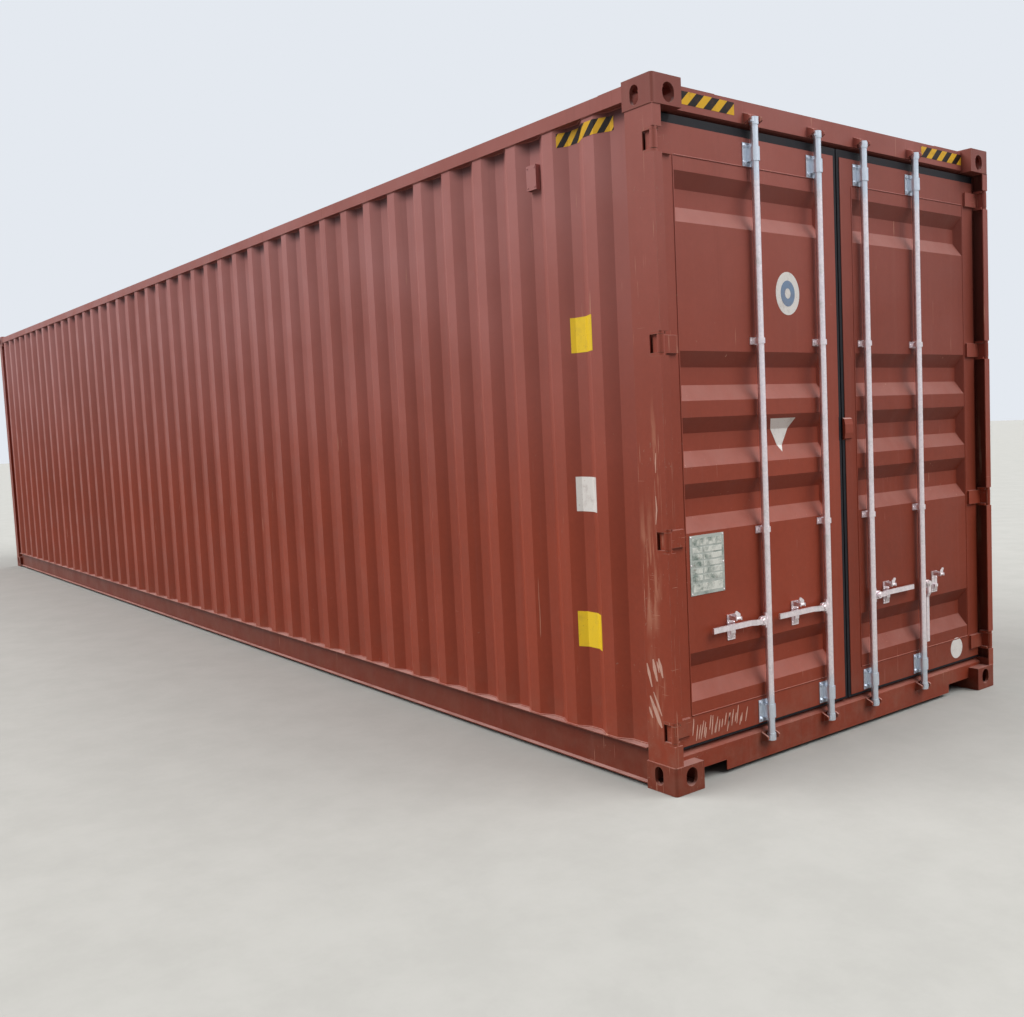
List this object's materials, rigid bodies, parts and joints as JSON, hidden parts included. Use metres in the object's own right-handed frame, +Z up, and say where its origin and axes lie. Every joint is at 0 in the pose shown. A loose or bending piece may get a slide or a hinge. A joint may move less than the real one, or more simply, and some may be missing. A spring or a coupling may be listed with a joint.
{
  "type": "shipping container",
  "caption": "Steel dry freight container with corrugated walls, hollow corner castings and two hinged doors with locking bars, handles and catches.",
  "frame": {"origin": "middle of the length and width, at the undersides of the bottom castings", "axes": "+X out of the door end, +Y to the right door's hinges' side, +Z up"},
  "size_m": [12.192, 2.438, 2.896],
  "materials": {
    "container_paint": "weathered red-brown paint",
    "galvanised_gear": "dull zinc",
    "door_rubber": "matt",
    "floor_board": "worn plywood",
    "plate_metal": "dull etched plate"
  },
  "bodies": {
    "container": {"bottom_castings": "container_paint", "top_castings": "container_paint", "rear_posts": "container_paint", "front_posts": "container_paint", "hinge_lugs": "container_paint", "top_side_rails": "container_paint", "bottom_side_rails": "container_paint", "door_header": "container_paint", "door_sill": "container_paint", "front_header": "container_paint", "front_sill": "container_paint", "left_side_wall": "container_paint", "right_side_wall": "container_paint", "front_wall": "container_paint", "roof": "container_paint", "roof_corner_plates": "container_paint", "threshold": "container_paint", "cross_members": "container_paint", "gooseneck_tunnel": "container_paint", "tunnel_webs": "container_paint", "vents": "container_paint", "cam_keepers": "container_paint", "floor": "floor_board"},
    "left_door": {"left_door_frame": "container_paint", "left_door_panel": "container_paint", "left_door_gasket": "door_rubber", "left_hinge_blades": "container_paint", "left_door_brackets": "galvanised_gear", "data_plate": "plate_metal"},
    "right_door": {"right_door_frame": "container_paint", "right_door_panel": "container_paint", "right_door_gasket": "door_rubber", "right_hinge_blades": "container_paint", "right_door_brackets": "galvanised_gear", "door_lap_lug": "container_paint"},
    "bar_1": {"locking_bar_1": "galvanised_gear"},
    "handle_arm_1": {"handle_1": "galvanised_gear"},
    "catch_1": {"handle_catch_1": "galvanised_gear"},
    "bar_2": {"locking_bar_2": "galvanised_gear"},
    "handle_arm_2": {"handle_2": "galvanised_gear"},
    "catch_2": {"handle_catch_2": "galvanised_gear"},
    "bar_3": {"locking_bar_3": "galvanised_gear"},
    "handle_arm_3": {"handle_3": "galvanised_gear"},
    "catch_3": {"handle_catch_3": "galvanised_gear"},
    "bar_4": {"locking_bar_4": "galvanised_gear"},
    "handle_arm_4": {"handle_4": "galvanised_gear"},
    "catch_4": {"handle_catch_4": "galvanised_gear"}
  },
  "joints": [
    {"name": "left_door_hinge", "type": "hinge", "parent": "container", "child": "left_door", "pos_m": [6.079, -1.202, 1.45], "axis": [0, 0, -1], "range_deg": [0, 264]},
    {"name": "right_door_hinge", "type": "hinge", "parent": "container", "child": "right_door", "pos_m": [6.079, 1.202, 1.45], "axis": [0, 0, 1], "range_deg": [0, 264]},
    {"name": "bar_1_turn", "type": "hinge", "parent": "left_door", "child": "bar_1", "pos_m": [6.063, -0.595, 1.45], "axis": [0, 0, -1], "range_deg": [-110, 0]},
    {"name": "bar_2_turn", "type": "hinge", "parent": "left_door", "child": "bar_2", "pos_m": [6.063, -0.171, 1.45], "axis": [0, 0, -1], "range_deg": [-110, 0]},
    {"name": "bar_3_turn", "type": "hinge", "parent": "right_door", "child": "bar_3", "pos_m": [6.063, 0.171, 1.45], "axis": [0, 0, 1], "range_deg": [-110, 0]},
    {"name": "bar_4_turn", "type": "hinge", "parent": "right_door", "child": "bar_4", "pos_m": [6.063, 0.595, 1.45], "axis": [0, 0, 1], "range_deg": [-110, 0]},
    {"name": "handle_1_lift", "type": "hinge", "parent": "bar_1", "child": "handle_arm_1", "pos_m": [6.07, -0.637, 0.641], "axis": [-1, 0, 0], "range_deg": [-90, 3]},
    {"name": "handle_2_lift", "type": "hinge", "parent": "bar_2", "child": "handle_arm_2", "pos_m": [6.07, -0.213, 0.641], "axis": [-1, 0, 0], "range_deg": [-90, 3]},
    {"name": "handle_3_lift", "type": "hinge", "parent": "bar_3", "child": "handle_arm_3", "pos_m": [6.07, 0.213, 0.641], "axis": [1, 0, 0], "range_deg": [-90, 3]},
    {"name": "handle_4_lift", "type": "hinge", "parent": "bar_4", "child": "handle_arm_4", "pos_m": [6.07, 0.637, 0.641], "axis": [1, 0, 0], "range_deg": [0, 93]},
    {"name": "catch_1_flip", "type": "hinge", "parent": "left_door", "child": "catch_1", "pos_m": [6.08, -0.807, 0.678], "axis": [0, 1, 0], "range_deg": [0, 175]},
    {"name": "catch_2_flip", "type": "hinge", "parent": "left_door", "child": "catch_2", "pos_m": [6.08, -0.383, 0.678], "axis": [0, 1, 0], "range_deg": [0, 175]},
    {"name": "catch_3_flip", "type": "hinge", "parent": "right_door", "child": "catch_3", "pos_m": [6.08, 0.318, 0.678], "axis": [0, 1, 0], "range_deg": [0, 175]},
    {"name": "catch_4_flip", "type": "hinge", "parent": "right_door", "child": "catch_4", "pos_m": [6.08, 0.742, 0.678], "axis": [0, 1, 0], "range_deg": [0, 175]}
  ]
}
